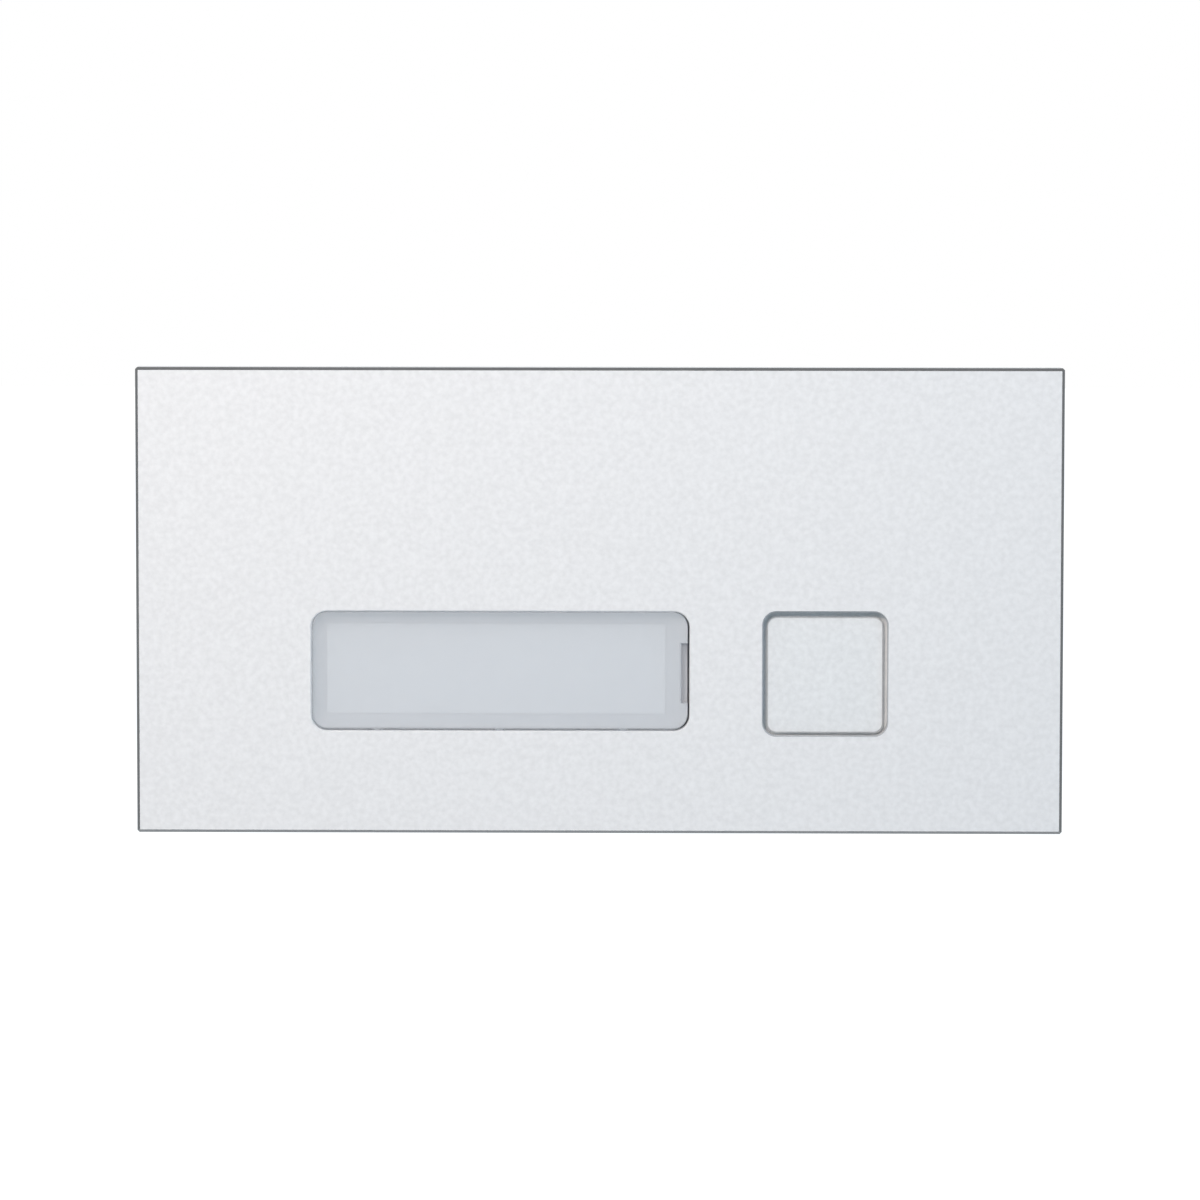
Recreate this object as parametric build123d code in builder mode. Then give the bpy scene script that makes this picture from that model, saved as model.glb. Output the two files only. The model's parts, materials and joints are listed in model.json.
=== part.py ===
from build123d import *

from math import atan2, degrees
import os

# Flush intercom module with one call button and a back-lit name window.
# Millimetres. The front faces -Y, +X is to the right and +Z is up. The origin is the centre of the four
# mounting holes, on the plane y = 0 where the seat pads behind the panel meet the mounting frame.

# Front panel. Its width and height follow from the openings and what lies around them.
OPENING_GAP = 9.0
TOP_MARGIN = 29.75
FLANGE_SIDE = 9.2
FLANGE_END = 5.3
PANEL_THICKNESS = 3.0
PANEL_CORNER_CUT = 0.25
PANEL_CHAMFER = 0.35
OPENING_CHAMFER = 0.15

# Mounting pads on the panel's back, tapped for M3
PAD_INSET = 4.0
PAD_SIZE = 6.0
PAD_HEIGHT = 1.4
PAD_TAP_DIAMETER = 2.5
PAD_TAP_DEPTH = 3.4

# Foam gasket between panel and mounting frame
GASKET_WIDTH = 2.4
GASKET_CLEARANCE = 0.3

# Name window: the clear lens sits tight at its top and left, with an open gap at its bottom and right
WINDOW_WIDTH = 46.1
WINDOW_HEIGHT = 14.6
WINDOW_RADIUS = 1.9
LENS_TIGHT_GAP = 0.05
LENS_OPEN_GAP = 0.2
LENS_RECESS = 0.05
LENS_THICKNESS = 1.5
LENS_BEVEL = 0.1
LENS_SEAT_GAP = 0.05
LENS_RIB_WIDTH = 1.0
LENS_RIB_LENGTH = 0.9
LENS_RIB_SPACING = 15.0
LENS_RIB_CLEARANCE = 0.04
NOTCH_WIDTH = 0.8
NOTCH_HEIGHT = 7.3
NOTCH_DROP = 0.3

# Card tray behind the lens: its walls slope down to the card's pocket, and its right lip is wider
TRAY_CLEARANCE = 0.15
TRAY_SHIFT = 0.1
TRAY_LIP = 0.25
TRAY_DEPTH = 1.2
TRAY_SLOPE = 1.2
TRAY_RIGHT_LIP = 1.3
LABEL_RADIUS = 0.3
PRY_WIDTH = 1.0
PRY_DEPTH = 0.5
CARD_LEDGE = 0.1
CARD_CLEARANCE = 0.06
CARD_THICKNESS = 0.3

# Light diffuser that carries the tray, with its adhesive seal and the light box
SEAL_THICKNESS = 0.5
SEAL_SETBACK = 0.6
SEAL_INSET = 0.4
DIFFUSER_MARGIN = 2.6
DIFFUSER_PLATE = 2.0
DIFFUSER_STEP = 1.0
DIFFUSER_CLEARANCE = 0.15
LIGHT_BOX_MARGIN = 0.5
LIGHT_BOX_WALL = 1.2
LIGHT_BOX_GAP = 0.5
LIGHT_BOX_BOARD_GAP = 0.2
LEDGE_THICKNESS = 1.2

# Call button, set back behind a lip of the panel; its play in the guide lets it hang a little low
BUTTON_OPENING = 15.1
BUTTON_RADIUS = 1.6
BUTTON_LIP = 1.6
BUTTON_GAP = 0.4
BUTTON_RECESS = 1.0
BUTTON_HANG = 0.2
BUTTON_BEVEL = 0.2
BUTTON_TRAVEL = 0.6
CAP_FRONT_WALL = 1.5
CAP_WALL = 1.3
CAP_FLANGE_WIDTH = 1.55
CAP_FLANGE_THICKNESS = 2.6
CAP_FLANGE_GAP = 0.05
GUIDE_CLEARANCE = 0.25
GUIDE_WALL = 1.2
GUIDE_FLOOR = 1.2
PLUNGER_CLEARANCE = 0.1
PLUNGER_PLATE = 1.2
PLUNGER_STEM_DIAMETER = 5.0
PLUNGER_RIB = 1.0
PRESS_ROOM = 1.05

# Silicone membrane between plunger and switch
MEMBRANE_THICKNESS = 0.8
MEMBRANE_WEB = 0.35
MEMBRANE_HINGE_WIDTH = 1.4
MEMBRANE_NUB_DIAMETER = 5.0
MEMBRANE_NUB_LENGTH = 0.65
MEMBRANE_HOLE = 9.0
CONTACT_GAP = 0.05

# Tactile switch
SWITCH_SIZE = 6.2
SWITCH_BODY_HEIGHT = 2.2
SWITCH_HEIGHT = 3.6
SWITCH_TRAVEL = 0.3
SWITCH_COVER_THICKNESS = 0.2
ACTUATOR_DIAMETER = 3.4
ACTUATOR_CLEARANCE = 0.1
ACTUATOR_DEPTH = 0.5

# Moulded housing: the rims of front housing and rear cover meet in a flat seal
WALL = 1.8
RIM_STEP = 1.0
RIM_HEIGHT = 2.4
RIM_RADIUS = 6.0
RIM_SEAL_THICKNESS = 0.8
RIM_SEAL_CLEARANCE = 0.1
FLOOR_THICKNESS = 1.6
SPLIT_SETBACK = 0.8
COVER_BEVEL = 1.2
FIELD_WIDTH = 56.0
FIELD_HEIGHT = 16.0
FIELD_DEPTH = 0.5
FIELD_RISE = 5.0

# Cover screws run through corner columns into bosses on the panel
SCREW_INSET = 4.4
SCREW_CLEARANCE = 0.15
COLUMN_DIAMETER = 8.0
BOSS_DIAMETER = 5.0
BOSS_HEIGHT = 6.0
BOSS_CLEARANCE = 0.2
SCREW_DIAMETER = 3.0
SCREW_ENGAGEMENT = 4.6
SCREW_RUNOUT = 0.6
SCREW_SEAT = 3.0
SCREW_HEAD_DIAMETER = 5.6
SCREW_HEAD_HEIGHT = 2.0
SCREW_PASSAGE = 0.1
SCREW_WELL_CLEARANCE = 0.3
THREAD_CLEARANCE = 0.05

# Circuit board: held by a snap hook at either end against supports, with ribs under its upper half
BOARD_THICKNESS = 1.6
BOARD_CLEARANCE = 0.4
HOOK_WIDTH = 6.0
HOOK_DROP = 4.0
HOOK_THICKNESS = 1.4
HOOK_ROOM = 0.8
HOOK_CATCH = 0.6
HOOK_LIP = 0.4
HOOK_HEAD = 1.4
HOOK_CLEARANCE = 0.1
HOOK_GRIP_GAP = 0.05
SUPPORT_WIDTH = 2.2
RIB_THICKNESS = 1.0
RIB_SPACING = 20.0
RIB_COUNT = 4

# Cross recess in the screw heads
CROSS_WIDTH = 0.7
CROSS_MARGIN = 1.1

# Line connectors: shrouded pin headers that open through the rear cover
HEADER_INSET = 25.3
HEADER_DROP = 14.15
HEADER_LENGTH = 15.24
HEADER_WIDTH = 8.9
HEADER_HEIGHT = 9.2
HEADER_WALL = 1.2
HEADER_BASE = 2.6
HEADER_KEY = 4.5
HEADER_RECESS = 0.6
PORT_CLEARANCE = 0.4
COLLAR_WALL = 1.2
COLLAR_HEIGHT = 0.8
PIN_PITCH = 2.54
PIN_COLUMNS = 3
PIN_ROWS = 2
PIN_SIZE = 0.64
PIN_CLEARANCE = 0.02
PIN_LENGTH = 4.4
PIN_TAIL = 1.2

# Parts on the board's front
LED_COUNT = 4
LED_SPACING = 11.0
LED_WIDTH = 3.5
LED_HEIGHT = 2.8
LED_DEPTH = 1.9
LED_WINDOW = 2.2
LED_WINDOW_RISE = 0.3

# Parts on the board's back, placed from the board's centre
CHIP_X = -14.0
CHIP_Z = -7.0
CHIP_SIZE = 7.0
CHIP_DEPTH = 1.0
BUS_X = -28.0
BUS_Z = -7.0
BUS_WIDTH = 5.0
BUS_HEIGHT = 4.0
BUS_DEPTH = 1.6
CRYSTAL_X = -14.0
CRYSTAL_Z = -14.5
CRYSTAL_WIDTH = 5.0
CRYSTAL_HEIGHT = 3.2
CRYSTAL_DEPTH = 1.1
INDUCTOR_X = 9.0
INDUCTOR_Z = -8.0
INDUCTOR_SIZE = 7.0
INDUCTOR_DEPTH = 3.2
INDUCTOR_CHAMFER = 1.4
CAN_X = 0.0
CAN_Z = 9.0
CAN_DIAMETER = 6.3
CAN_HEIGHT = 5.4
CAN_BASE_SIZE = 6.6
CAN_BASE_DEPTH = 1.0
CAN_BASE_CHAMFER = 1.2
CAN_GROOVE_HEIGHT = 1.3
CAN_GROOVE_DEPTH = 0.35
CAN_BEVEL = 0.5
PASSIVE_INSET = 20.1
PASSIVE_Z = -8.0
PASSIVE_PITCH_X = 4.2
PASSIVE_PITCH_Z = 3.6
PASSIVE_COLUMNS = 4
PASSIVE_ROWS = 3
PASSIVE_WIDTH = 2.0
PASSIVE_HEIGHT = 1.25
PASSIVE_DEPTH = 0.6

# Depths from front to back
seat_y = 0.0
panel_rear_y = seat_y - PAD_HEIGHT
panel_front_y = panel_rear_y - PANEL_THICKNESS
diffuser_front_y = panel_rear_y + SEAL_THICKNESS
ledge_y = diffuser_front_y + DIFFUSER_PLATE
diffuser_rear_y = ledge_y + DIFFUSER_STEP
lens_front_y = panel_front_y + LENS_RECESS
lens_rear_y = lens_front_y + LENS_THICKNESS
tray_front_y = lens_rear_y + LENS_SEAT_GAP
tray_floor_y = tray_front_y + TRAY_DEPTH
card_rear_y = tray_floor_y + CARD_THICKNESS
cap_front_y = panel_front_y + BUTTON_RECESS
lip_rear_y = panel_front_y + BUTTON_LIP
flange_front_y = lip_rear_y + CAP_FLANGE_GAP
flange_rear_y = flange_front_y + CAP_FLANGE_THICKNESS
cap_ceiling_y = cap_front_y + CAP_FRONT_WALL
membrane_front_y = flange_rear_y + BUTTON_TRAVEL + PRESS_ROOM
membrane_rear_y = membrane_front_y + MEMBRANE_THICKNESS
nub_end_y = membrane_rear_y + MEMBRANE_NUB_LENGTH
actuator_front_y = nub_end_y + CONTACT_GAP
board_front_y = actuator_front_y + SWITCH_HEIGHT
board_rear_y = board_front_y + BOARD_THICKNESS
switch_front_y = board_front_y - SWITCH_BODY_HEIGHT
floor_rear_y = panel_rear_y + FLOOR_THICKNESS
boss_end_y = panel_rear_y + BOSS_HEIGHT
split_y = board_rear_y + SPLIT_SETBACK
cover_front_y = split_y + RIM_SEAL_THICKNESS
head_seat_y = split_y + SCREW_SEAT
screw_tip_y = boss_end_y - SCREW_ENGAGEMENT
header_end_y = board_rear_y + HEADER_HEIGHT
cover_rear_y = header_end_y + HEADER_RECESS

# Layout across the panel, worked outwards from the two openings
diffuser_width = WINDOW_WIDTH + 2 * DIFFUSER_MARGIN
diffuser_height = WINDOW_HEIGHT + 2 * DIFFUSER_MARGIN
pocket_width = diffuser_width + 2 * DIFFUSER_CLEARANCE
pocket_height = diffuser_height + 2 * DIFFUSER_CLEARANCE
box_width = WINDOW_WIDTH + 2 * LIGHT_BOX_MARGIN
box_height = WINDOW_HEIGHT + 2 * LIGHT_BOX_MARGIN
box_reach = DIFFUSER_MARGIN + DIFFUSER_CLEARANCE + LIGHT_BOX_WALL

cap_size = BUTTON_OPENING - 2 * BUTTON_GAP
cap_radius = BUTTON_RADIUS - BUTTON_GAP
flange_size = cap_size + 2 * CAP_FLANGE_WIDTH
guide_size = flange_size + 2 * GUIDE_CLEARANCE
guide_outer = guide_size + 2 * GUIDE_WALL
guide_reach = (guide_outer - BUTTON_OPENING) / 2

boss_hole_diameter = BOSS_DIAMETER + 2 * BOSS_CLEARANCE
screw_side = FLANGE_SIDE + RIM_STEP + SCREW_INSET
side_margin = screw_side + boss_hole_diameter / 2 + SCREW_CLEARANCE + max(box_reach, guide_reach)
low_margin = FLANGE_END + RIM_STEP + WALL + LIGHT_BOX_GAP
row_height = max(WINDOW_HEIGHT + box_reach, BUTTON_OPENING + guide_reach)
panel_width = 2 * side_margin + WINDOW_WIDTH + OPENING_GAP + BUTTON_OPENING
panel_height = TOP_MARGIN + row_height + low_margin

row_top_z = panel_height / 2 - TOP_MARGIN
window_at = (side_margin + (WINDOW_WIDTH - panel_width) / 2, row_top_z - WINDOW_HEIGHT / 2)
button_at = ((panel_width - BUTTON_OPENING) / 2 - side_margin, row_top_z - BUTTON_OPENING / 2)
cap_at = (button_at[0], button_at[1] - BUTTON_HANG)
tray_at = (window_at[0] - TRAY_SHIFT, window_at[1] + TRAY_SHIFT)

rim_width = panel_width - 2 * FLANGE_SIDE
rim_height = panel_height - 2 * FLANGE_END
wall_width = rim_width - 2 * RIM_STEP
wall_height = rim_height - 2 * RIM_STEP
wall_radius = RIM_RADIUS - RIM_STEP
inner_width = wall_width - 2 * WALL
inner_height = wall_height - 2 * WALL

pad_spacing = (panel_width - 2 * PAD_INSET, panel_height - 2 * PAD_INSET)
screw_spacing = (wall_width - 2 * SCREW_INSET, wall_height - 2 * SCREW_INSET)
board_width = inner_width - 2 * BOARD_CLEARANCE
board_height = inner_height - 2 * BOARD_CLEARANCE
hook_outer_x = inner_width / 2 - HOOK_ROOM
hook_inner_x = hook_outer_x - HOOK_THICKNESS
support_x = hook_inner_x - HOOK_CLEARANCE - SUPPORT_WIDTH / 2
header_x = rim_width / 2 - HEADER_INSET
header_z = rim_height / 2 - HEADER_DROP
pin_grid = (PIN_PITCH, PIN_PITCH, PIN_COLUMNS, PIN_ROWS)
pin_hole = PIN_SIZE + 2 * PIN_CLEARANCE


def at_depth(y):
    """Sketch plane across the module at depth y, seen from the front: x right, z up, normal forwards."""
    return Plane.XZ.offset(-y)


def from_rear(y):
    """Plane at depth y that faces backwards, for holes drilled from behind."""
    return Plane(origin=(0, y, 0), x_dir=(-1, 0, 0), z_dir=(0, 1, 0))


def slab(rear_y, front_y, width, height, radius=0, at=(0, 0), mode=Mode.ADD):
    """Rectangle, with rounded corners if it has a radius, between two depths: added or cut."""
    with BuildSketch(at_depth(rear_y)) as outline:
        with Locations(at):
            if radius:
                RectangleRounded(width, height, radius)
            else:
                Rectangle(width, height)
    extrude(outline.sketch, amount=rear_y - front_y, mode=mode)


def rods(rear_y, front_y, diameter, places, mode=Mode.ADD):
    """Round bars between two depths at a list of (x, z) places, added or cut."""
    with BuildSketch(at_depth(rear_y)) as outline:
        with Locations(*places):
            Circle(diameter / 2)
    extrude(outline.sketch, amount=rear_y - front_y, mode=mode)


def corners(spacing):
    """The four (x, z) corners of a rectangle about the origin."""
    return [(sx * spacing[0] / 2, sz * spacing[1] / 2) for sx in (-1, 1) for sz in (-1, 1)]


def ring(rear_y, front_y, width, height, radius, thickness):
    """Rounded rectangular ring between two depths, measured from its outer outline inwards."""
    slab(rear_y, front_y, width, height, radius)
    hole = (width - 2 * thickness, height - 2 * thickness, radius - thickness)
    slab(rear_y, front_y, *hole, mode=Mode.SUBTRACT)


def save(builder, name):
    """Label a finished piece and write it as its own file."""
    builder.part.label = name
    export_step(builder.part, f"parts/{name}.step")


os.makedirs("parts", exist_ok=True)

# Front panel: cast plate with a machined edge, two openings, seat pads and screw bosses
with BuildPart() as front_panel:
    slab(panel_rear_y, panel_front_y, panel_width, panel_height)
    chamfer(front_panel.edges().filter_by(Axis.Y), PANEL_CORNER_CUT)
    chamfer(front_panel.faces().sort_by(Axis.Y)[0].edges(), PANEL_CHAMFER)
    slab(
        panel_rear_y, panel_front_y, WINDOW_WIDTH, WINDOW_HEIGHT, WINDOW_RADIUS,
        at=window_at, mode=Mode.SUBTRACT,
    )
    slab(
        panel_rear_y, panel_front_y, BUTTON_OPENING, BUTTON_OPENING, BUTTON_RADIUS,
        at=button_at, mode=Mode.SUBTRACT,
    )
    slab(panel_rear_y, lip_rear_y, guide_size, guide_size, at=button_at, mode=Mode.SUBTRACT)
    openings = front_panel.faces().sort_by(Axis.Y)[0].inner_wires()
    chamfer([edge for wire in openings for edge in wire.edges()], OPENING_CHAMFER)
    for place in corners(pad_spacing):
        slab(seat_y, panel_rear_y, PAD_SIZE, PAD_SIZE, at=place)
    rods(boss_end_y, panel_rear_y, BOSS_DIAMETER, corners(screw_spacing))
    with Locations(from_rear(seat_y)):
        with GridLocations(*pad_spacing, 2, 2):
            Hole(PAD_TAP_DIAMETER / 2, depth=PAD_TAP_DEPTH)
    with Locations(from_rear(boss_end_y)):
        with GridLocations(*screw_spacing, 2, 2):
            Hole(SCREW_DIAMETER / 2 + THREAD_CLEARANCE, depth=SCREW_ENGAGEMENT + SCREW_RUNOUT)
save(front_panel, "front_panel")

# Foam gasket on the flange, inside the seat pads
with BuildPart() as panel_gasket:
    gasket_reach = GASKET_CLEARANCE + GASKET_WIDTH
    ring(
        seat_y, panel_rear_y, rim_width + 2 * gasket_reach, rim_height + 2 * gasket_reach,
        RIM_RADIUS + gasket_reach, GASKET_WIDTH,
    )
save(panel_gasket, "panel_gasket")

# Window lens: clear plate with crush ribs below and a pry notch in its right edge
lens_width = WINDOW_WIDTH - LENS_TIGHT_GAP - LENS_OPEN_GAP
lens_height = WINDOW_HEIGHT - LENS_TIGHT_GAP - LENS_OPEN_GAP
lens_shift = (LENS_OPEN_GAP - LENS_TIGHT_GAP) / 2
lens_at = (window_at[0] - lens_shift, window_at[1] + lens_shift)
notch_at = (lens_at[0] + lens_width / 2, lens_at[1] - NOTCH_DROP)
lens_rib_reach = LENS_OPEN_GAP - LENS_RIB_CLEARANCE

with BuildPart() as window_lens:
    slab(lens_rear_y, lens_front_y, lens_width, lens_height, WINDOW_RADIUS - LENS_TIGHT_GAP, at=lens_at)
    slab(lens_rear_y, lens_front_y, 2 * NOTCH_WIDTH, NOTCH_HEIGHT, at=notch_at, mode=Mode.SUBTRACT)
    chamfer(window_lens.faces().sort_by(Axis.Y)[0].edges(), LENS_BEVEL)
    for step in (-1, 0, 1):
        slab(
            lens_rear_y, lens_rear_y - LENS_RIB_LENGTH, LENS_RIB_WIDTH, 2 * lens_rib_reach,
            at=(lens_at[0] + step * LENS_RIB_SPACING, lens_at[1] - lens_height / 2),
        )
save(window_lens, "window_lens")

# Blank name card in the pocket of the tray
tray_width = WINDOW_WIDTH - 2 * TRAY_CLEARANCE
tray_height = WINDOW_HEIGHT - 2 * TRAY_CLEARANCE
label_size = (
    tray_width - TRAY_LIP - TRAY_RIGHT_LIP - 2 * TRAY_SLOPE,
    tray_height - 2 * TRAY_LIP - 2 * TRAY_SLOPE,
)
label_at = (tray_at[0] + (TRAY_LIP - TRAY_RIGHT_LIP) / 2, tray_at[1])
card_pocket = (label_size[0] - 2 * CARD_LEDGE, label_size[1] - 2 * CARD_LEDGE)
with BuildPart() as name_card:
    slab(
        card_rear_y, tray_floor_y,
        card_pocket[0] - 2 * CARD_CLEARANCE, card_pocket[1] - 2 * CARD_CLEARANCE, at=label_at,
    )
save(name_card, "name_card")

# Adhesive foam frame between panel and diffuser
with BuildPart() as window_seal:
    slab(
        diffuser_front_y, panel_rear_y, diffuser_width - 2 * SEAL_INSET, diffuser_height - 2 * SEAL_INSET,
        at=window_at,
    )
    slab(
        diffuser_front_y, panel_rear_y, WINDOW_WIDTH + 2 * SEAL_SETBACK, WINDOW_HEIGHT + 2 * SEAL_SETBACK,
        at=window_at, mode=Mode.SUBTRACT,
    )
save(window_seal, "window_seal")

# Light diffuser: milky plate with a step that drops into the light box, and the card tray on its front
slope_angle = degrees(atan2(TRAY_SLOPE, TRAY_DEPTH))
with BuildPart() as light_diffuser:
    slab(ledge_y, diffuser_front_y, diffuser_width, diffuser_height, at=window_at)
    slab(
        diffuser_rear_y, ledge_y, box_width - 2 * DIFFUSER_CLEARANCE, box_height - 2 * DIFFUSER_CLEARANCE,
        at=window_at,
    )
    slab(
        diffuser_front_y, tray_front_y, tray_width, tray_height, WINDOW_RADIUS - TRAY_CLEARANCE, at=tray_at
    )
    with BuildSketch(at_depth(tray_floor_y)):
        with Locations(label_at):
            RectangleRounded(*label_size, LABEL_RADIUS)
    extrude(amount=TRAY_DEPTH, taper=-slope_angle, mode=Mode.SUBTRACT)
    slab(card_rear_y, tray_floor_y, *card_pocket, at=label_at, mode=Mode.SUBTRACT)
    slab(
        tray_front_y + PRY_DEPTH, tray_front_y, 2 * PRY_WIDTH, NOTCH_HEIGHT,
        at=(tray_at[0] + tray_width / 2, notch_at[1]), mode=Mode.SUBTRACT,
    )
save(light_diffuser, "light_diffuser")

# Front housing: open tub on the panel's back with light box, button guide, board hooks and screw columns
box_end_y = board_front_y - LIGHT_BOX_BOARD_GAP
ledge_end_y = ledge_y + LEDGE_THICKNESS
guide_end_y = membrane_rear_y + GUIDE_FLOOR
rib_low_z = row_top_z + DIFFUSER_MARGIN + DIFFUSER_CLEARANCE + LIGHT_BOX_WALL / 2
rib_high_z = inner_height / 2 + WALL / 2
catch_y = board_rear_y + HOOK_GRIP_GAP

with BuildPart() as front_housing:
    slab(split_y, panel_rear_y, wall_width, wall_height, wall_radius)
    slab(split_y, split_y - RIM_HEIGHT, rim_width, rim_height, RIM_RADIUS)
    slab(split_y, floor_rear_y, inner_width, inner_height, mode=Mode.SUBTRACT)
    slab(
        ledge_end_y, panel_rear_y, pocket_width + 2 * LIGHT_BOX_WALL, pocket_height + 2 * LIGHT_BOX_WALL,
        at=window_at,
    )
    slab(
        box_end_y, ledge_y, box_width + 2 * LIGHT_BOX_WALL, box_height + 2 * LIGHT_BOX_WALL, at=window_at
    )
    slab(guide_end_y, panel_rear_y, guide_outer, guide_outer, at=button_at)
    for index in range(RIB_COUNT):
        slab(
            board_front_y, panel_rear_y, RIB_THICKNESS, rib_high_z - rib_low_z,
            at=(window_at[0] + (index - 1) * RIB_SPACING, (rib_low_z + rib_high_z) / 2),
        )
    rods(split_y, panel_rear_y, COLUMN_DIAMETER, corners(screw_spacing))
    for side in (-1, 1):
        slab(board_front_y, panel_rear_y, SUPPORT_WIDTH, HOOK_WIDTH, at=(side * support_x, -HOOK_DROP))
    with BuildSketch(Plane.XY.offset(-HOOK_DROP)):
        with BuildLine():
            Polyline(
                (hook_outer_x, panel_rear_y),
                (hook_outer_x, catch_y + HOOK_HEAD),
                (hook_inner_x, catch_y + HOOK_HEAD),
                (hook_inner_x - HOOK_CATCH, catch_y + HOOK_LIP),
                (hook_inner_x - HOOK_CATCH, catch_y),
                (hook_inner_x, catch_y),
                (hook_inner_x, panel_rear_y),
                close=True,
            )
        make_face()
    hook = extrude(amount=HOOK_WIDTH / 2, both=True)
    mirror(hook, about=Plane.YZ)
    slab(ledge_y, panel_rear_y, pocket_width, pocket_height, at=window_at, mode=Mode.SUBTRACT)
    slab(box_end_y, panel_rear_y, box_width, box_height, at=window_at, mode=Mode.SUBTRACT)
    slab(membrane_rear_y, panel_rear_y, guide_size, guide_size, at=button_at, mode=Mode.SUBTRACT)
    slab(guide_end_y, panel_rear_y, MEMBRANE_HOLE, MEMBRANE_HOLE, at=button_at, mode=Mode.SUBTRACT)
    rods(split_y, panel_rear_y, boss_hole_diameter, corners(screw_spacing), mode=Mode.SUBTRACT)
save(front_housing, "front_housing")

# Flat seal between the two rims, cut out round the columns that bear on each other
with BuildPart() as cover_seal:
    ring(cover_front_y, split_y, rim_width, rim_height, RIM_RADIUS, RIM_STEP + WALL)
    rods(
        cover_front_y, split_y, COLUMN_DIAMETER + 2 * RIM_SEAL_CLEARANCE, corners(screw_spacing),
        mode=Mode.SUBTRACT,
    )
save(cover_seal, "cover_seal")

# Button cap: hollow square cap with a retaining flange that runs in the guide
cap_room = cap_size - 2 * CAP_WALL
with BuildPart() as button_cap:
    slab(flange_front_y, cap_front_y, cap_size, cap_size, cap_radius, at=cap_at)
    chamfer(button_cap.faces().sort_by(Axis.Y)[0].edges(), BUTTON_BEVEL)
    slab(flange_rear_y, flange_front_y, flange_size, flange_size, at=cap_at)
    slab(flange_rear_y, cap_ceiling_y, cap_room, cap_room, at=cap_at, mode=Mode.SUBTRACT)
save(button_cap, "button_cap")

# Plunger: plate inside the cap with cross ribs and a stem down to the membrane
plunger_size = cap_room - 2 * PLUNGER_CLEARANCE
with BuildPart() as button_plunger:
    slab(cap_ceiling_y + PLUNGER_PLATE, cap_ceiling_y, plunger_size, plunger_size, at=cap_at)
    slab(flange_rear_y, cap_ceiling_y, plunger_size, PLUNGER_RIB, at=cap_at)
    slab(flange_rear_y, cap_ceiling_y, PLUNGER_RIB, plunger_size, at=cap_at)
    rods(membrane_front_y - CONTACT_GAP, cap_ceiling_y, PLUNGER_STEM_DIAMETER, [cap_at])
save(button_plunger, "button_plunger")

# Silicone membrane: mat bonded into the guide, with a thin hinge round the nub over the switch
hinge_size = MEMBRANE_NUB_DIAMETER + 2 * MEMBRANE_HINGE_WIDTH
web_front_y = membrane_rear_y - MEMBRANE_WEB
with BuildPart() as button_membrane:
    slab(membrane_rear_y, membrane_front_y, flange_size, flange_size, at=button_at)
    slab(web_front_y, membrane_front_y, hinge_size, hinge_size, at=button_at, mode=Mode.SUBTRACT)
    rods(nub_end_y, membrane_front_y, MEMBRANE_NUB_DIAMETER, [button_at])
save(button_membrane, "button_membrane")

# Tactile switch: moulded body, steel cover plate and round actuator
well_diameter = ACTUATOR_DIAMETER + 2 * ACTUATOR_CLEARANCE
well_end_y = switch_front_y + ACTUATOR_DEPTH + 2 * SWITCH_TRAVEL
cover_plate_y = switch_front_y - SWITCH_COVER_THICKNESS
with BuildPart() as switch_body:
    slab(board_front_y, switch_front_y, SWITCH_SIZE, SWITCH_SIZE, at=button_at)
    rods(well_end_y, switch_front_y, well_diameter, [button_at], mode=Mode.SUBTRACT)
save(switch_body, "switch_body")

with BuildPart() as switch_cover:
    slab(switch_front_y, cover_plate_y, SWITCH_SIZE, SWITCH_SIZE, at=button_at)
    rods(switch_front_y, cover_plate_y, well_diameter, [button_at], mode=Mode.SUBTRACT)
save(switch_cover, "switch_cover")

with BuildPart() as switch_actuator:
    rods(switch_front_y + ACTUATOR_DEPTH, actuator_front_y, ACTUATOR_DIAMETER, [button_at])
save(switch_actuator, "switch_actuator")

# Circuit board, notched round the screw columns and the snap hooks
header_places = {"input": (-header_x, header_z), "output": (header_x, header_z)}
with BuildPart() as circuit_board:
    slab(board_rear_y, board_front_y, board_width, board_height)
    rods(
        board_rear_y, board_front_y, COLUMN_DIAMETER + 2 * BOARD_CLEARANCE, corners(screw_spacing),
        mode=Mode.SUBTRACT,
    )
    notch_depth = board_width / 2 - hook_inner_x + HOOK_CLEARANCE
    for side in (-1, 1):
        slab(
            board_rear_y, board_front_y, 2 * notch_depth, HOOK_WIDTH + 2 * HOOK_CLEARANCE,
            at=(side * board_width / 2, -HOOK_DROP), mode=Mode.SUBTRACT,
        )
    with BuildSketch(at_depth(board_rear_y)):
        with Locations(*header_places.values()):
            with GridLocations(*pin_grid):
                Rectangle(pin_hole, pin_hole)
    extrude(amount=BOARD_THICKNESS, mode=Mode.SUBTRACT)
save(circuit_board, "circuit_board")

# Back-light LEDs in the light box: square body with a raised window
with BuildPart() as backlight_leds:
    for index in range(LED_COUNT):
        led_at = (window_at[0] + (index - (LED_COUNT - 1) / 2) * LED_SPACING, window_at[1])
        led_face_y = board_front_y - LED_DEPTH
        slab(board_front_y, led_face_y, LED_WIDTH, LED_HEIGHT, at=led_at)
        slab(led_face_y, led_face_y - LED_WINDOW_RISE, LED_WINDOW, LED_WINDOW, at=led_at)
save(backlight_leds, "backlight_leds")

# Parts on the back of the board
with BuildPart() as controller_chip:
    slab(board_rear_y + CHIP_DEPTH, board_rear_y, CHIP_SIZE, CHIP_SIZE, at=(CHIP_X, CHIP_Z))
save(controller_chip, "controller_chip")

with BuildPart() as bus_transceiver:
    slab(board_rear_y + BUS_DEPTH, board_rear_y, BUS_WIDTH, BUS_HEIGHT, at=(BUS_X, BUS_Z))
save(bus_transceiver, "bus_transceiver")

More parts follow.
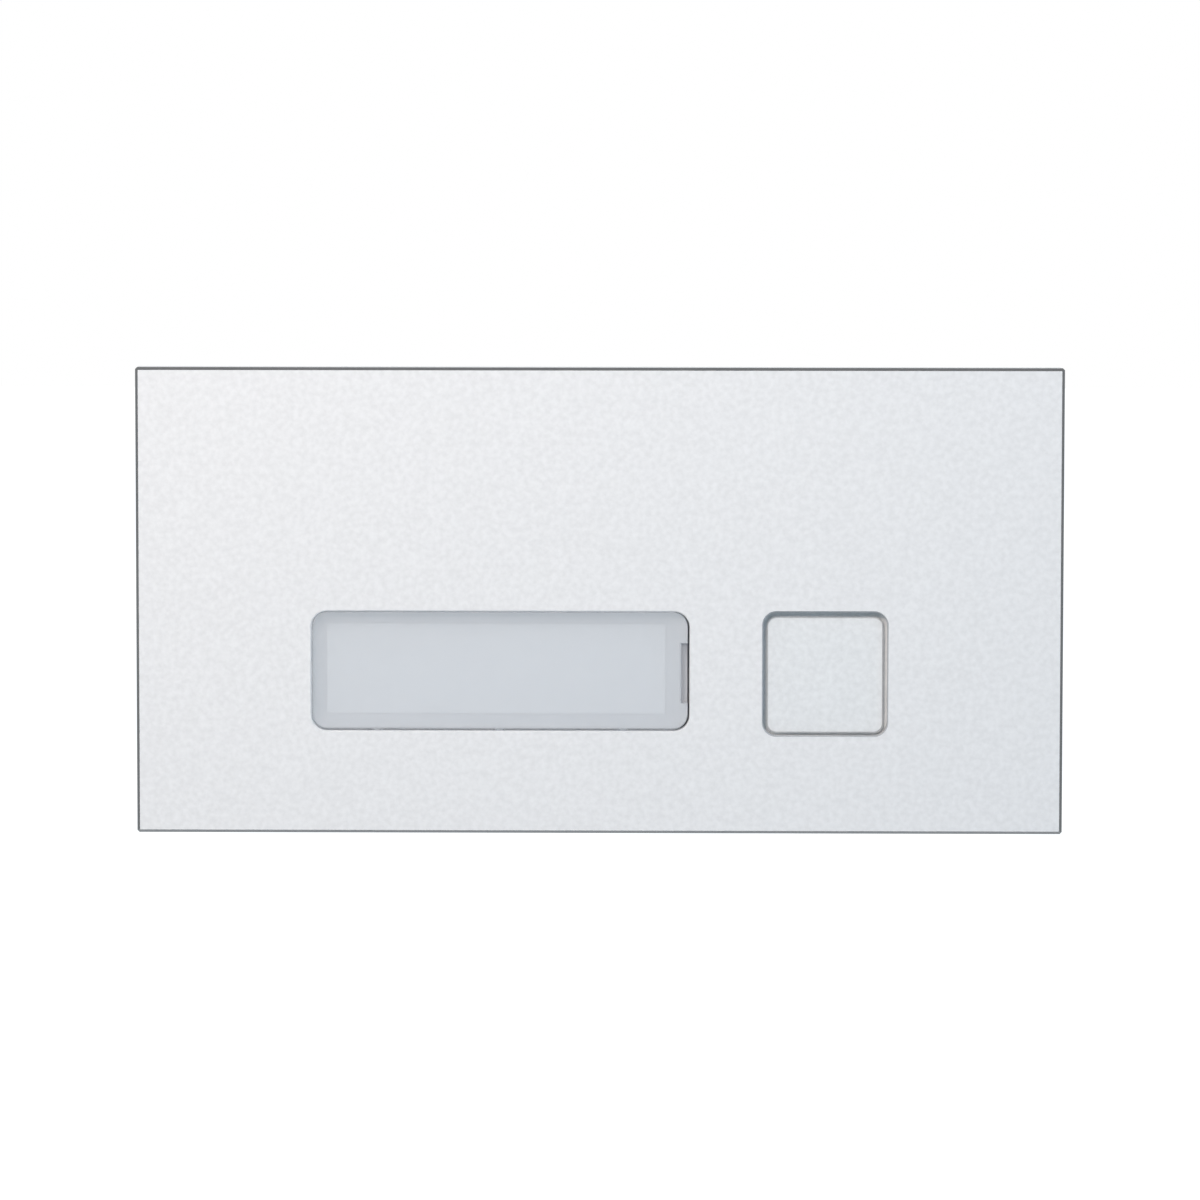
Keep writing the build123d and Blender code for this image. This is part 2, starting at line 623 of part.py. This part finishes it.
with BuildPart() as crystal_can:
    slab(
        board_rear_y + CRYSTAL_DEPTH, board_rear_y, CRYSTAL_WIDTH, CRYSTAL_HEIGHT, at=(CRYSTAL_X, CRYSTAL_Z)
    )
save(crystal_can, "crystal_can")

with BuildPart() as power_inductor:
    slab(
        board_rear_y + INDUCTOR_DEPTH, board_rear_y, INDUCTOR_SIZE, INDUCTOR_SIZE, at=(INDUCTOR_X, INDUCTOR_Z)
    )
    chamfer(power_inductor.edges().filter_by(Axis.Y), INDUCTOR_CHAMFER)
save(power_inductor, "power_inductor")

with BuildPart() as capacitor_base:
    slab(board_rear_y + CAN_BASE_DEPTH, board_rear_y, CAN_BASE_SIZE, CAN_BASE_SIZE, at=(CAN_X, CAN_Z))
    chamfer(capacitor_base.edges().filter_by(Axis.Y).group_by(Axis.X)[0], CAN_BASE_CHAMFER)
save(capacitor_base, "capacitor_base")

with BuildPart() as capacitor_can:
    can_front_y = board_rear_y + CAN_BASE_DEPTH
    can_rear_y = can_front_y + CAN_HEIGHT
    can_edge_x = CAN_X + CAN_DIAMETER / 2
    groove_y = can_front_y + CAN_GROOVE_HEIGHT
    with BuildSketch(Plane.XY.offset(CAN_Z)):
        with BuildLine():
            Polyline(
                (CAN_X, can_front_y),
                (can_edge_x, can_front_y),
                (can_edge_x, groove_y - CAN_GROOVE_DEPTH),
                (can_edge_x - CAN_GROOVE_DEPTH, groove_y),
                (can_edge_x, groove_y + CAN_GROOVE_DEPTH),
                (can_edge_x, can_rear_y - CAN_BEVEL),
                (can_edge_x - CAN_BEVEL, can_rear_y),
                (CAN_X, can_rear_y),
                close=True,
            )
        make_face()
    revolve(axis=Axis((CAN_X, 0, CAN_Z), (0, 1, 0)))
save(capacitor_can, "capacitor_can")

with BuildPart() as small_passives:
    with BuildSketch(at_depth(board_rear_y + PASSIVE_DEPTH)):
        with Locations((board_width / 2 - PASSIVE_INSET, PASSIVE_Z)):
            with GridLocations(PASSIVE_PITCH_X, PASSIVE_PITCH_Z, PASSIVE_COLUMNS, PASSIVE_ROWS):
                Rectangle(PASSIVE_WIDTH, PASSIVE_HEIGHT)
    extrude(amount=PASSIVE_DEPTH)
save(small_passives, "small_passives")

# Line connectors: keyed shroud and its square pins, one of each at either side
header_floor_y = board_rear_y + HEADER_BASE
pin_tip_y = header_floor_y + PIN_LENGTH
header_room = (HEADER_LENGTH - 2 * HEADER_WALL, HEADER_WIDTH - 2 * HEADER_WALL)
for name, place in header_places.items():
    with BuildPart() as header_shell:
        slab(header_end_y, board_rear_y, HEADER_LENGTH, HEADER_WIDTH, at=place)
        slab(header_end_y, header_floor_y, *header_room, at=place, mode=Mode.SUBTRACT)
        slab(
            header_end_y, header_floor_y, HEADER_KEY, 2 * HEADER_WALL,
            at=(place[0], place[1] - HEADER_WIDTH / 2), mode=Mode.SUBTRACT,
        )
        with BuildSketch(at_depth(header_floor_y)):
            with Locations(place):
                with GridLocations(*pin_grid):
                    Rectangle(pin_hole, pin_hole)
        extrude(amount=HEADER_BASE, mode=Mode.SUBTRACT)
    save(header_shell, f"{name}_header_shell")

    with BuildPart() as header_pins:
        with BuildSketch(at_depth(pin_tip_y)):
            with Locations(place):
                with GridLocations(*pin_grid):
                    Rectangle(PIN_SIZE, PIN_SIZE)
        extrude(amount=pin_tip_y - (board_front_y - PIN_TAIL))
    save(header_pins, f"{name}_header_pins")

# Rear cover: bevelled tub with screw wells, connector ports in collars and a shallow stiffening field
cover_floor_y = cover_rear_y - WALL
collar_end_y = cover_rear_y + COLLAR_HEIGHT
port = (HEADER_LENGTH + 2 * PORT_CLEARANCE, HEADER_WIDTH + 2 * PORT_CLEARANCE)
with BuildPart() as rear_cover:
    slab(cover_rear_y, cover_front_y, wall_width, wall_height, wall_radius)
    chamfer(rear_cover.faces().sort_by(Axis.Y)[-1].edges(), COVER_BEVEL)
    slab(cover_front_y + RIM_HEIGHT, cover_front_y, rim_width, rim_height, RIM_RADIUS)
    slab(cover_floor_y, cover_front_y, inner_width, inner_height, mode=Mode.SUBTRACT)
    rods(cover_floor_y, split_y, COLUMN_DIAMETER, corners(screw_spacing))
    for place in header_places.values():
        slab(collar_end_y, cover_floor_y, port[0] + 2 * COLLAR_WALL, port[1] + 2 * COLLAR_WALL, at=place)
        slab(collar_end_y, cover_floor_y, *port, at=place, mode=Mode.SUBTRACT)
    slab(
        cover_rear_y, cover_rear_y - FIELD_DEPTH, FIELD_WIDTH, FIELD_HEIGHT,
        at=(0, FIELD_RISE + (FIELD_HEIGHT - wall_height) / 2), mode=Mode.SUBTRACT,
    )
    with Locations(from_rear(cover_rear_y)):
        with GridLocations(*screw_spacing, 2, 2):
            CounterBoreHole(
                SCREW_DIAMETER / 2 + SCREW_PASSAGE,
                SCREW_HEAD_DIAMETER / 2 + SCREW_WELL_CLEARANCE,
                cover_rear_y - head_seat_y,
            )
save(rear_cover, "rear_cover")

# Cover screws: pan heads with a cross recess, tips in the panel's bosses
head_end_y = head_seat_y + SCREW_HEAD_HEIGHT
cross_length = SCREW_HEAD_DIAMETER - 2 * CROSS_MARGIN
with BuildPart() as cover_screws:
    rods(head_end_y, head_seat_y, SCREW_HEAD_DIAMETER, corners(screw_spacing))
    rods(head_seat_y, screw_tip_y, SCREW_DIAMETER, corners(screw_spacing))
    with BuildSketch(at_depth(head_end_y)):
        with Locations(*corners(screw_spacing)):
            Rectangle(cross_length, CROSS_WIDTH)
            Rectangle(CROSS_WIDTH, cross_length)
    extrude(amount=SCREW_HEAD_HEIGHT / 2, mode=Mode.SUBTRACT)
save(cover_screws, "cover_screws")
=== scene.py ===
import json
import math

import bpy
from mathutils import Matrix, Vector


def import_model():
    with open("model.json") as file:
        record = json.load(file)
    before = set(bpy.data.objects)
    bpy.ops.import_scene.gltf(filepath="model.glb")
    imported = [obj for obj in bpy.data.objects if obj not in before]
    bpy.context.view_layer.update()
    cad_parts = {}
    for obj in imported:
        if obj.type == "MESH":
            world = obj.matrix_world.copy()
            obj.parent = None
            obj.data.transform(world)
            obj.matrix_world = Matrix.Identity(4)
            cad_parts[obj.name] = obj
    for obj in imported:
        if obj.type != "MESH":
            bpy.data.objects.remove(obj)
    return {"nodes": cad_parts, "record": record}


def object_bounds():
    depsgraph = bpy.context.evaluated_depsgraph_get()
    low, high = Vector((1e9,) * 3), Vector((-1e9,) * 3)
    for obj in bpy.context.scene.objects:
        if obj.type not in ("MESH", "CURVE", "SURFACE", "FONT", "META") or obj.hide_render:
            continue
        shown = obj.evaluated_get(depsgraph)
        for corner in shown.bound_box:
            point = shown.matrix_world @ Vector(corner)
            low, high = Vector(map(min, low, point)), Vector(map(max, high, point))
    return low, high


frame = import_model()
cad_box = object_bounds()
nodes = frame["nodes"]

MM = 0.001

# Viewpoint of the photograph: distance to the panel's front, angles in degrees, lens for a 36 mm sensor
CAMERA_TARGET = Vector((0.09, -4.4, 0.156)) * MM
CAMERA_DISTANCE = 700 * MM
CAMERA_AZIMUTH = 0.767
CAMERA_ELEVATION = 4.540
CAMERA_ROLL = 0.053
CAMERA_LENS = 172.4
CAMERA_SENSOR = 36.0
CAMERA_CLIP = (0.01, 50)

# Stage: a floor well below the module, so that its shadow falls outside the photograph's frame
FLOOR_DROP = 0.20
FLOOR_SIZE = 12.0
FLOOR_ALBEDO = 0.80
FLOOR_GLOW = (0.50, 0.92)
FLOOR_GLOW_COLOUR = (1.0, 0.97, 0.94)
FLOOR_GLOW_REACH = (0.40, 0.80)

# Light: a bluish surround, a warm key from the upper left, a cool fill from the upper right and a lamp behind
AMBIENT = (0.60, 0.82, 1.0)
AMBIENT_STRENGTH = 0.35
BACKGROUND = (1, 1, 1)
BACKGROUND_STRENGTH = 1.0
KEY_PLACE = Vector((-0.12, -0.33, 0.21))
KEY_SIZE = 0.20
KEY_POWER = 1.23
KEY_COLOUR = (1.0, 0.875, 0.785)
FILL_PLACE = Vector((0.30, -0.33, 0.18))
FILL_SIZE = 0.30
FILL_POWER = 0.32
FILL_COLOUR = (0.62, 0.83, 1.0)
BACK_PLACE = Vector((0.45, 1.00, 0.45))
BACK_SIZE = 0.60
BACK_POWER = 5.0
BACK_COLOUR = (1.0, 0.93, 0.86)

# Textures: the noise's useful range, the mottle's size in grains, and the wave texture's period at scale 1
NOISE_RANGE = (0.3, 0.7)
GRAIN_DETAIL = 2.0
MOTTLE_DETAIL = 3.0
MOTTLE_SIZE = 9
WAVE_PERIOD = 2 * math.pi / 20

# Faces are told apart by their normal: across the view, edge-on to it, or turned downwards
FLAT_SLOPE = 0.95
WALL_SLOPE = 0.3
DOWN_SLOPE = -0.5

# Reach of the panel's edge and of its openings' walls, and of the threads in hole radii
EDGE_REACH = 1.0 * MM
PANEL_DEPTH = 2.9 * MM
THREAD_SHARE = 1.2

# Cover screws: radius of the head, and how far out and how deep the cross recess goes
HEAD_RADIUS = 2.8 * MM
CROSS_REACH = 2.4 * MM
CROSS_START = 0.1 * MM
CROSS_DEPTH = 1.1 * MM


def link(tree, source, target):
    tree.links.new(source, target)


def noise(tree, coordinates, size, detail):
    """Noise texture whose features are about size metres across, read at object coordinates."""
    texture = tree.nodes.new("ShaderNodeTexNoise")
    texture.inputs["Scale"].default_value = 1 / size
    texture.inputs["Detail"].default_value = detail
    link(tree, coordinates, texture.inputs["Vector"])
    return texture.outputs["Fac"]


def rings(tree, coordinates, pitch):
    """Rings round the Y axis at a thread's pitch."""
    texture = tree.nodes.new("ShaderNodeTexWave")
    texture.bands_direction = "Y"
    texture.inputs["Scale"].default_value = WAVE_PERIOD / pitch
    link(tree, coordinates, texture.inputs["Vector"])
    return texture.outputs["Fac"]


def blend(tree, fine, mottle, cloud):
    """Mix of fine grain and coarse mottle, in which the mottle has the weight cloud."""
    weight = tree.nodes.new("ShaderNodeMath")
    weight.operation = "MULTIPLY"
    weight.inputs[1].default_value = cloud
    link(tree, mottle, weight.inputs[0])
    total = tree.nodes.new("ShaderNodeMath")
    total.operation = "MULTIPLY_ADD"
    total.inputs[1].default_value = 1 - cloud
    link(tree, fine, total.inputs[0])
    link(tree, weight.outputs[0], total.inputs[2])
    return total.outputs[0]


def spread(tree, factor, low, high):
    """Maps the middle of a noise to the range from low to high."""
    node = tree.nodes.new("ShaderNodeMapRange")
    node.inputs["From Min"].default_value, node.inputs["From Max"].default_value = NOISE_RANGE
    node.inputs["To Min"].default_value = low
    node.inputs["To Max"].default_value = high
    link(tree, factor, node.inputs["Value"])
    return node.outputs["Result"]


def tint(tree, factor, low, high):
    """Colour between two colours by a factor."""
    node = tree.nodes.new("ShaderNodeMix")
    node.data_type = "RGBA"
    node.inputs["A"].default_value = (*low, 1)
    node.inputs["B"].default_value = (*high, 1)
    link(tree, factor, node.inputs["Factor"])
    return node.outputs["Result"]


def shade(colour, share):
    """A colour made lighter or darker by a share."""
    return tuple(min(1.0, channel * share) for channel in colour)


def surface(
    name, colour, roughness, metallic=0.0, grain=0.4 * MM, cloud=0.4, contrast=0.04, rough_spread=0.06,
    bump=0.01 * MM, bump_strength=0.3, specular=0.5, alpha=1.0, soft_edge=0.0, pitch=0.0,
):
    """Principled material with grain in its colour, its roughness and its relief.

    soft_edge rounds the shading at edges by that radius.
    pitch gives the relief thread rings instead of grain.
    """
    made = bpy.data.materials.new(name)
    made.use_nodes = True
    tree = made.node_tree
    shader = tree.nodes["Principled BSDF"]
    coordinates = tree.nodes.new("ShaderNodeTexCoord").outputs["Object"]
    fine = noise(tree, coordinates, grain, GRAIN_DETAIL)
    mottle = noise(tree, coordinates, MOTTLE_SIZE * grain, MOTTLE_DETAIL)
    factor = spread(tree, blend(tree, fine, mottle, cloud), 0, 1)
    colours = tint(tree, factor, shade(colour, 1 - contrast), shade(colour, 1 + contrast))
    link(tree, colours, shader.inputs["Base Color"])
    sheen = spread(tree, mottle, roughness - rough_spread, roughness + rough_spread)
    link(tree, sheen, shader.inputs["Roughness"])
    relief = tree.nodes.new("ShaderNodeBump")
    relief.inputs["Strength"].default_value = bump_strength
    relief.inputs["Distance"].default_value = bump
    link(tree, rings(tree, coordinates, pitch) if pitch else fine, relief.inputs["Height"])
    if soft_edge:
        rounded = tree.nodes.new("ShaderNodeBevel")
        rounded.inputs["Radius"].default_value = soft_edge
        link(tree, rounded.outputs["Normal"], relief.inputs["Normal"])
    link(tree, relief.outputs["Normal"], shader.inputs["Normal"])
    shader.inputs["Metallic"].default_value = metallic
    shader.inputs["Specular IOR Level"].default_value = specular
    shader.inputs["Alpha"].default_value = alpha
    return made


def dress(name, *materials):
    """Gives a CAD node its materials; every face takes the first one."""
    mesh = nodes[name].data
    mesh.materials.clear()
    for made in materials:
        mesh.materials.append(made)
    for polygon in mesh.polygons:
        polygon.material_index = 0
    return mesh


# Coated metal of the panel and the button, with darker materials that paint shade on their edges and round
# the button's opening, and lighter copies that paint light where edges face down
panel_silver = surface(
    "panel_silver", (0.835, 0.845, 0.86), 0.62, metallic=0.06, grain=0.65 * MM, cloud=0.08, contrast=0.045,
    rough_spread=0.02, bump=0.03 * MM, bump_strength=0.5, specular=0.35,
)
# Painted shade for the panel's outer chamfer, and a lighter copy painting light on chamfers that face down
panel_edge_shaded = surface(
    "panel_edge_shaded", (0.155, 0.16, 0.165), 0.42, metallic=0.8, grain=0.3 * MM, contrast=0.10,
)
panel_edge_lit_below = surface(
    "panel_edge_lit_below", (0.27, 0.28, 0.29), 0.42, metallic=0.8, grain=0.3 * MM, contrast=0.10,
)
# Painted shade for the walls and the rim of the button's opening
panel_cut_shade = surface(
    "panel_cut_shade", (0.50, 0.50, 0.50), 0.55, metallic=0.1, grain=0.3 * MM, contrast=0.10,
)
panel_rim_shade = surface(
    "panel_rim_shade", (0.46, 0.475, 0.50), 0.55, metallic=0.1, grain=0.3 * MM, contrast=0.08,
)
panel_thread = surface(
    "panel_thread", (0.42, 0.43, 0.44), 0.40, metallic=0.6, grain=0.2 * MM,
    bump=0.12 * MM, bump_strength=0.9, pitch=0.5 * MM,
)
button_silver = surface(
    "button_silver", (0.815, 0.835, 0.85), 0.60, metallic=0.06, grain=0.65 * MM, cloud=0.08, contrast=0.05,
    rough_spread=0.02, bump=0.03 * MM, bump_strength=0.5, specular=0.35,
)
# Painted shade for the button's bevel, and a lighter copy painting light where it faces down
button_edge_shaded = surface(
    "button_edge_shaded", (0.72, 0.735, 0.75), 0.50, metallic=0.1, grain=0.3 * MM, contrast=0.08,
)
button_edge_lit_below = surface(
    "button_edge_lit_below", (0.80, 0.815, 0.83), 0.50, metallic=0.1, grain=0.3 * MM, contrast=0.08,
)

# Window, card and light box
lens_clear = surface(
    "lens_clear", (0.86, 0.89, 0.925), 0.07, grain=4 * MM, contrast=0.01, rough_spread=0.02,
    bump=0.002 * MM, alpha=0.40,
)
card_paper = surface(
    "card_paper", (0.885, 0.91, 0.94), 0.75, grain=0.25 * MM, contrast=0.02, specular=0.2,
)
diffuser_milky = surface(
    "diffuser_milky", (0.63, 0.65, 0.69), 0.42, grain=1.2 * MM, contrast=0.02, bump=0.004 * MM,
)

# Mouldings and seals
housing_plastic = surface(
    "housing_plastic", (0.035, 0.036, 0.039), 0.58, grain=0.28 * MM, cloud=0.08, contrast=0.16,
    rough_spread=0.015, bump=0.05 * MM, bump_strength=0.55, soft_edge=0.30 * MM,
)
black_plastic = surface(
    "black_plastic", (0.020, 0.020, 0.022), 0.46, grain=0.3 * MM, contrast=0.15,
    bump=0.02 * MM, bump_strength=0.4, soft_edge=0.15 * MM,
)
foam = surface(
    "foam", (0.045, 0.045, 0.048), 0.92, grain=0.35 * MM, contrast=0.35,
    bump=0.12 * MM, bump_strength=0.8, specular=0.2,
)
silicone = surface("silicone", (0.20, 0.205, 0.21), 0.62, grain=0.6 * MM, contrast=0.05)

# Screws, board and the parts on it
steel = surface(
    "steel", (0.46, 0.47, 0.48), 0.34, metallic=1.0, grain=0.25 * MM, contrast=0.08, soft_edge=0.30 * MM,
)
# Painted shade in the screws' cross recesses
steel_recess_shade = surface(
    "steel_recess_shade", (0.10, 0.10, 0.105), 0.55, metallic=0.6, grain=0.25 * MM, contrast=0.10,
)
board_green = surface("board_green", (0.012, 0.12, 0.045), 0.38, grain=0.8 * MM, contrast=0.10)
led_white = surface("led_white", (0.83, 0.81, 0.70), 0.40, grain=0.5 * MM, contrast=0.03)
ferrite = surface("ferrite", (0.085, 0.085, 0.092), 0.70, grain=0.25 * MM, contrast=0.20, bump=0.03 * MM)
can_metal = surface("can_metal", (0.72, 0.73, 0.74), 0.30, metallic=1.0, grain=0.3 * MM)
ceramic = surface("ceramic", (0.33, 0.25, 0.16), 0.45, grain=0.3 * MM, contrast=0.10)
pin_gold = surface("pin_gold", (0.80, 0.60, 0.26), 0.22, metallic=1.0, grain=0.2 * MM, contrast=0.06)

SLOT_MATERIALS = {
    "panel_metal": panel_silver, "foam": foam, "lens_clear": lens_clear, "card_paper": card_paper,
    "diffuser_milky": diffuser_milky, "housing_plastic": housing_plastic, "silicone": silicone,
    "black_plastic": black_plastic, "steel": steel, "board_laminate": board_green, "led_white": led_white,
    "ferrite": ferrite, "can_metal": can_metal, "passive_ceramic": ceramic, "pin_metal": pin_gold,
}
for subpart in frame["record"]["subparts"]:
    dress(subpart["node"], SLOT_MATERIALS[subpart["material_slot"]])


def extent(mesh):
    """Lower and upper corner of a mesh in its own coordinates."""
    points = [vertex.co for vertex in mesh.vertices]
    return [Vector(pick(point[axis] for point in points) for axis in range(3)) for pick in (min, max)]


def is_flat(face):
    """True for a face that looks straight to the front or to the rear."""
    return abs(face.normal.y) > FLAT_SLOPE


def is_wall(face):
    """True for a face that is seen edge-on from the front."""
    return abs(face.normal.y) < WALL_SLOPE


def is_front_bevel(face):
    """True for a face that slopes between the front and a side."""
    return -FLAT_SLOPE < face.normal.y < -WALL_SLOPE


def turns_down(face):
    return face.normal.z < DOWN_SLOPE


# Painted shade: the panel's outer front chamfer is darker than its coated face, with a lighter copy painting
# light where it faces down, and the walls and rim round the button are painted darker too
EDGE_SHADED, EDGE_LIT_BELOW, CUT_SHADE, RIM_SHADE, THREAD = range(1, 6)
panel_mesh = dress(
    "front_panel", panel_silver, panel_edge_shaded, panel_edge_lit_below, panel_cut_shade, panel_rim_shade, panel_thread
)
panel_low, panel_high = extent(panel_mesh)
button_low, button_high = extent(nodes["button_cap"].data)
for face in panel_mesh.polygons:
    if is_flat(face) or face.center.y > panel_low.y + PANEL_DEPTH:
        continue
    gap_x = min(face.center.x - panel_low.x, panel_high.x - face.center.x)
    gap_z = min(face.center.z - panel_low.z, panel_high.z - face.center.z)
    if min(gap_x, gap_z) > EDGE_REACH:
        # Painted shade on the walls and rim round the button's opening
        if button_low.x - EDGE_REACH < face.center.x < button_high.x + EDGE_REACH:
            face.material_index = CUT_SHADE if is_wall(face) else RIM_SHADE
    elif is_front_bevel(face):
        face.material_index = EDGE_LIT_BELOW if turns_down(face) else EDGE_SHADED

# The four mounting holes are tapped
bolts = next(mount["dims"] for mount in frame["record"]["mounts"] if mount["name"] == "frame_bolts")
thread_reach = THREAD_SHARE * bolts["hole_r_mm"] * MM
for face in panel_mesh.polygons:
    off_x = abs(face.center.x) - bolts["spacing_x_mm"] / 2 * MM
    off_z = abs(face.center.z) - bolts["spacing_y_mm"] / 2 * MM
    if is_wall(face) and math.hypot(off_x, off_z) < thread_reach:
        face.material_index = THREAD

# Painted shade: the cross recesses of the cover screws are dark
RECESS_SHADE = 1
screw_mesh = dress("cover_screws", steel, steel_recess_shade)
_, screw_high = extent(screw_mesh)
for face in screw_mesh.polygons:
    off_x = abs(face.center.x) - (screw_high.x - HEAD_RADIUS)
    off_z = abs(face.center.z) - (screw_high.z - HEAD_RADIUS)
    depth = screw_high.y - face.center.y
    if CROSS_START < depth < CROSS_DEPTH and math.hypot(off_x, off_z) < CROSS_REACH:
        face.material_index = RECESS_SHADE

# Painted shade on the button's front bevel, with a lighter copy painting light where it faces down
button_mesh = dress("button_cap", button_silver, button_edge_shaded, button_edge_lit_below)
for face in button_mesh.polygons:
    if is_front_bevel(face):
        face.material_index = EDGE_LIT_BELOW if turns_down(face) else EDGE_SHADED


def camera():
    """Camera at the photograph's viewpoint."""
    azimuth, elevation = math.radians(CAMERA_AZIMUTH), math.radians(CAMERA_ELEVATION)
    back = Vector((
        math.sin(azimuth) * math.cos(elevation),
        -math.cos(azimuth) * math.cos(elevation),
        math.sin(elevation),
    ))
    data = bpy.data.cameras.new("camera")
    data.lens = CAMERA_LENS
    data.sensor_width = CAMERA_SENSOR
    data.clip_start, data.clip_end = CAMERA_CLIP
    made = bpy.data.objects.new("camera", data)
    roll = Matrix.Rotation(math.radians(CAMERA_ROLL), 3, "Z")
    turn = (-back).to_track_quat("-Z", "Y").to_matrix() @ roll
    made.matrix_world = Matrix.Translation(CAMERA_TARGET + back * CAMERA_DISTANCE) @ turn.to_4x4()
    bpy.context.scene.collection.objects.link(made)
    bpy.context.scene.camera = made


def seen_rays(tree):
    """1 for camera, glossy and transmission rays, which see the white background, else 0."""
    path = tree.nodes.new("ShaderNodeLightPath")
    total = path.outputs["Is Camera Ray"]
    for ray in ("Is Glossy Ray", "Is Transmission Ray"):
        node = tree.nodes.new("ShaderNodeMath")
        node.operation = "MAXIMUM"
        link(tree, total, node.inputs[0])
        link(tree, path.outputs[ray], node.inputs[1])
        total = node.outputs[0]
    return total


def mix_by_ray(tree, lighting, seen):
    """One shader for rays that carry light, another for rays that see the stage."""
    mix = tree.nodes.new("ShaderNodeMixShader")
    link(tree, seen_rays(tree), mix.inputs["Fac"])
    link(tree, lighting, mix.inputs[1])
    link(tree, seen, mix.inputs[2])
    return mix.outputs[0]


def background(tree, colour, strength):
    node = tree.nodes.new("ShaderNodeBackground")
    node.inputs["Color"].default_value = (*colour, 1)
    node.inputs["Strength"].default_value = strength
    return node.outputs[0]


def world():
    """Soft ambient light, with a white background where it is seen."""
    made = bpy.data.worlds.new("studio")
    made.use_nodes = True
    tree = made.node_tree
    tree.nodes.clear()
    ambient = background(tree, AMBIENT, AMBIENT_STRENGTH)
    white = background(tree, BACKGROUND, BACKGROUND_STRENGTH)
    output = tree.nodes.new("ShaderNodeOutputWorld")
    link(tree, mix_by_ray(tree, ambient, white), output.inputs["Surface"])
    bpy.context.scene.world = made


def floor_paint():
    """Pale paint: its own colour under the lamps, lifted to white where it is seen, with its shadow kept."""
    paint = bpy.data.materials.new("floor_paint")
    paint.use_nodes = True
    tree = paint.node_tree
    tree.nodes.clear()
    diffuse = tree.nodes.new("ShaderNodeBsdfDiffuse")
    diffuse.inputs["Color"].default_value = (FLOOR_ALBEDO, FLOOR_ALBEDO, FLOOR_ALBEDO, 1)
    distance = tree.nodes.new("ShaderNodeVectorMath")
    distance.operation = "LENGTH"
    link(tree, tree.nodes.new("ShaderNodeTexCoord").outputs["Object"], distance.inputs[0])
    rise = tree.nodes.new("ShaderNodeMapRange")
    rise.inputs["From Min"].default_value, rise.inputs["From Max"].default_value = FLOOR_GLOW_REACH
    rise.inputs["To Min"].default_value, rise.inputs["To Max"].default_value = FLOOR_GLOW
    link(tree, distance.outputs["Value"], rise.inputs["Value"])
    glow = tree.nodes.new("ShaderNodeEmission")
    glow.inputs["Color"].default_value = (*FLOOR_GLOW_COLOUR, 1)
    link(tree, rise.outputs["Result"], glow.inputs["Strength"])
    lifted = tree.nodes.new("ShaderNodeAddShader")
    link(tree, diffuse.outputs[0], lifted.inputs[0])
    link(tree, glow.outputs[0], lifted.inputs[1])
    output = tree.nodes.new("ShaderNodeOutputMaterial")
    link(tree, mix_by_ray(tree, diffuse.outputs[0], lifted.outputs[0]), output.inputs["Surface"])
    return paint


def floor():
    half = FLOOR_SIZE / 2
    level = cad_box[0].z - FLOOR_DROP
    corners = [(-half, -half, level), (half, -half, level), (half, half, level), (-half, half, level)]
    mesh = bpy.data.meshes.new("floor")
    mesh.from_pydata(corners, [], [(0, 1, 2, 3)])
    mesh.materials.append(floor_paint())
    made = bpy.data.objects.new("floor", mesh)
    bpy.context.scene.collection.objects.link(made)


def lamp(name, place, size, power, colour):
    """Soft square lamp that faces the module."""
    data = bpy.data.lights.new(name, "AREA")
    data.shape = "SQUARE"
    data.size = size
    data.energy = power
    data.color = colour
    made = bpy.data.objects.new(name, data)
    made.location = place
    made.rotation_mode = "QUATERNION"
    made.rotation_quaternion = (-place).to_track_quat("-Z", "Y")
    bpy.context.scene.collection.objects.link(made)


camera()
world()
floor()
lamp("key", KEY_PLACE, KEY_SIZE, KEY_POWER, KEY_COLOUR)
lamp("fill", FILL_PLACE, FILL_SIZE, FILL_POWER, FILL_COLOUR)
lamp("back", BACK_PLACE, BACK_SIZE, BACK_POWER, BACK_COLOUR)
bpy.context.scene.view_settings.view_transform = "Standard"
